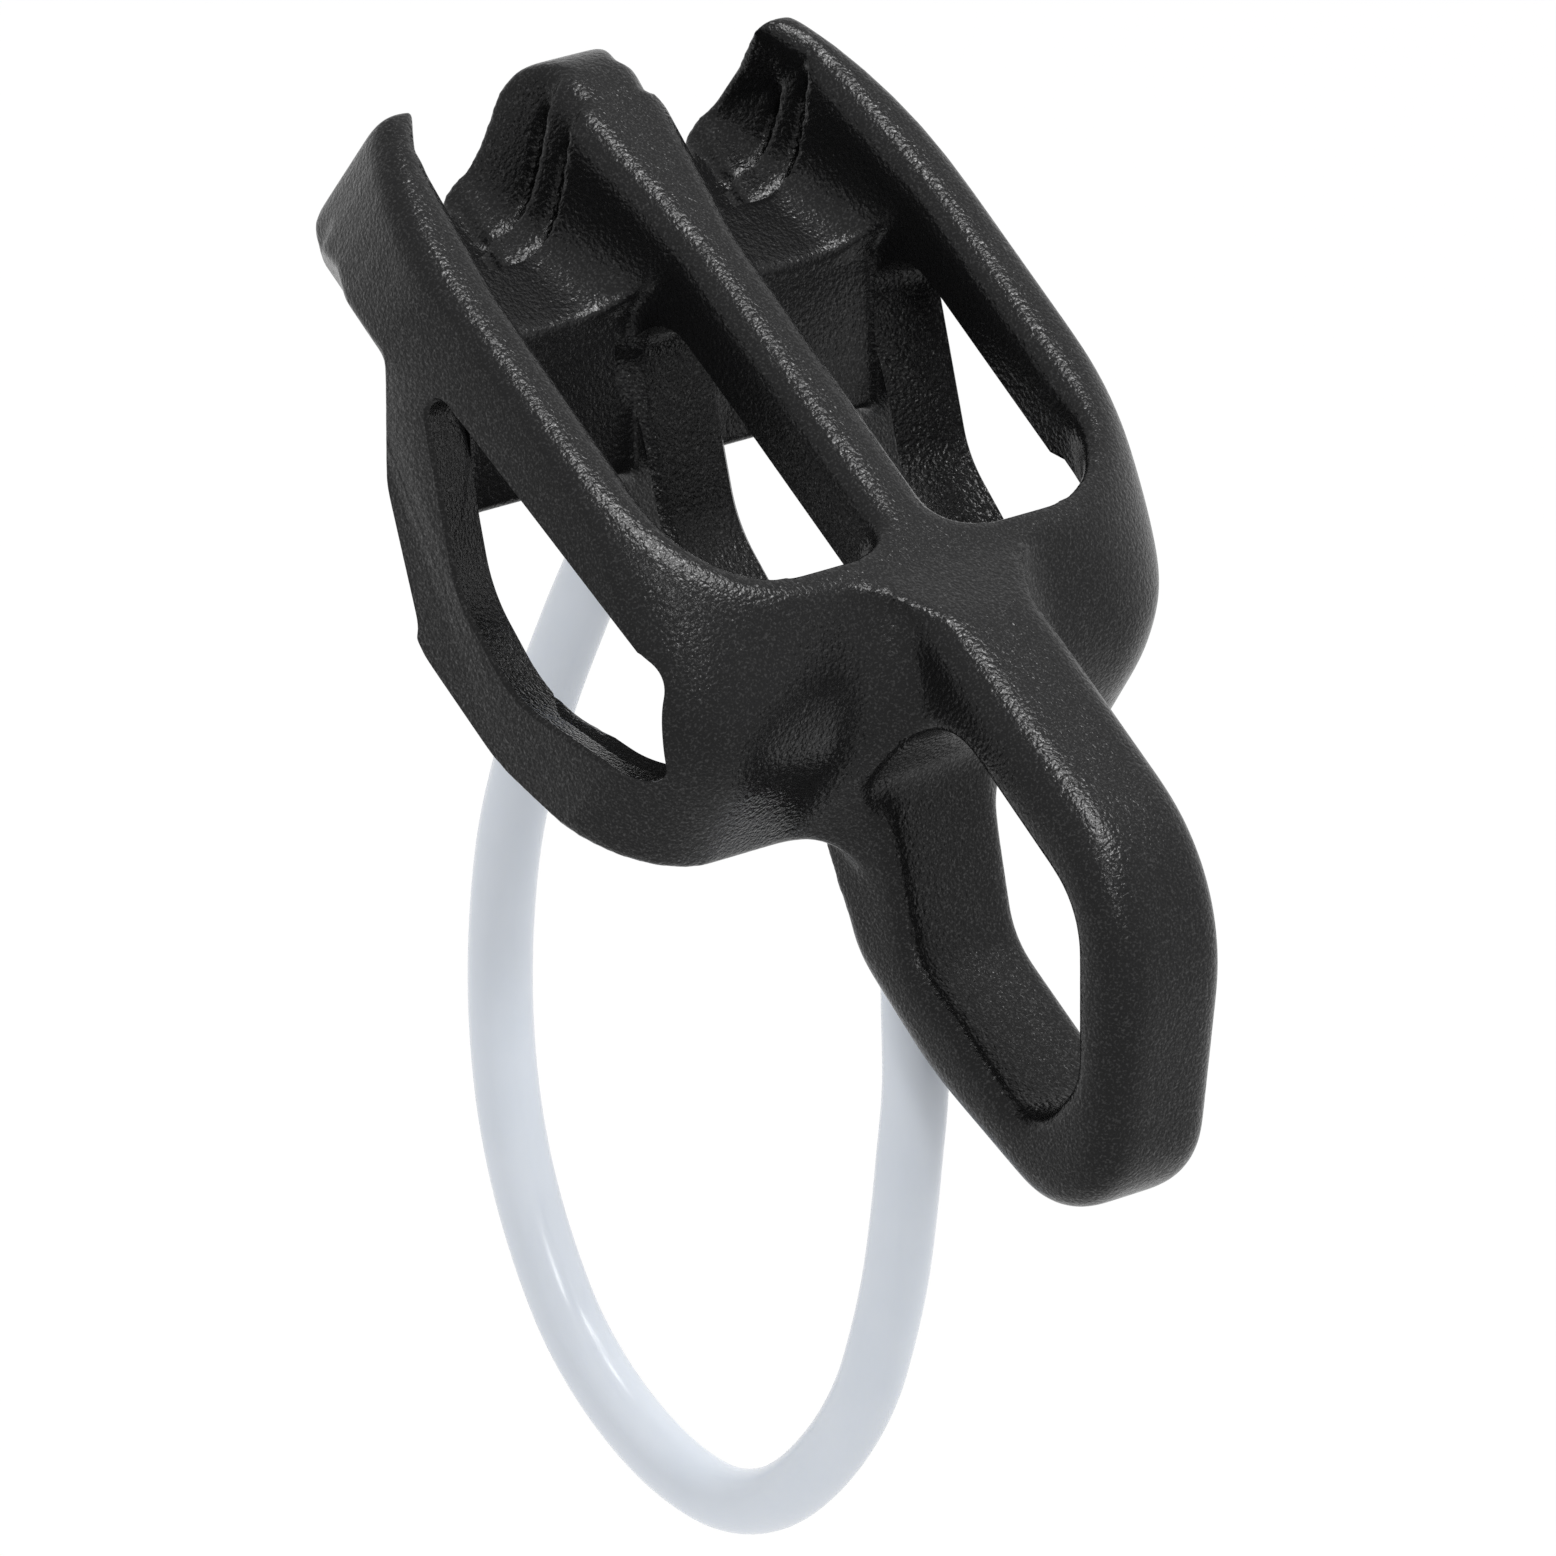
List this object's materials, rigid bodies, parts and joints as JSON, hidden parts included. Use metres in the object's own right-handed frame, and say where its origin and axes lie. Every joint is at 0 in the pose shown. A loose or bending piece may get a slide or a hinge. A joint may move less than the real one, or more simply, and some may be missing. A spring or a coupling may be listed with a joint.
{
  "type": "belay device",
  "caption": "Tube-style belay device: forged body with paired rope slots, stepped friction channels, side windows, an anchor eye and a springy cable keeper loop.",
  "frame": {"origin": "centre of the anchor eye, in the middle plane of the device", "axes": "+X across the rope slots, +Y from the anchor eye back to the friction channels, +Z out of the face that the rope enters"},
  "size_m": [0.0426, 0.0784, 0.0704],
  "materials": {
    "body": "hot forged, bead blasted and black anodised",
    "keeper_sleeve": "pale smooth extruded plastic",
    "keeper_wire": "bare stranded steel wire",
    "ferrule": "swaged steel"
  },
  "bodies": {
    "device": {"body": "body", "rear_ferrule": "ferrule", "front_ferrule": "ferrule"},
    "keeper": {"keeper_sleeve": "keeper_sleeve", "keeper_wire": "keeper_wire"}
  },
  "joints": [
    {"name": "keeper_sway", "type": "hinge", "parent": "device", "child": "keeper", "pos_m": [0, 0.0403, -0.0118], "axis": [0, -0.9997, -0.0257], "range_deg": [-40, 40], "stiffness_Nm_per_rad": 0.1}
  ]
}
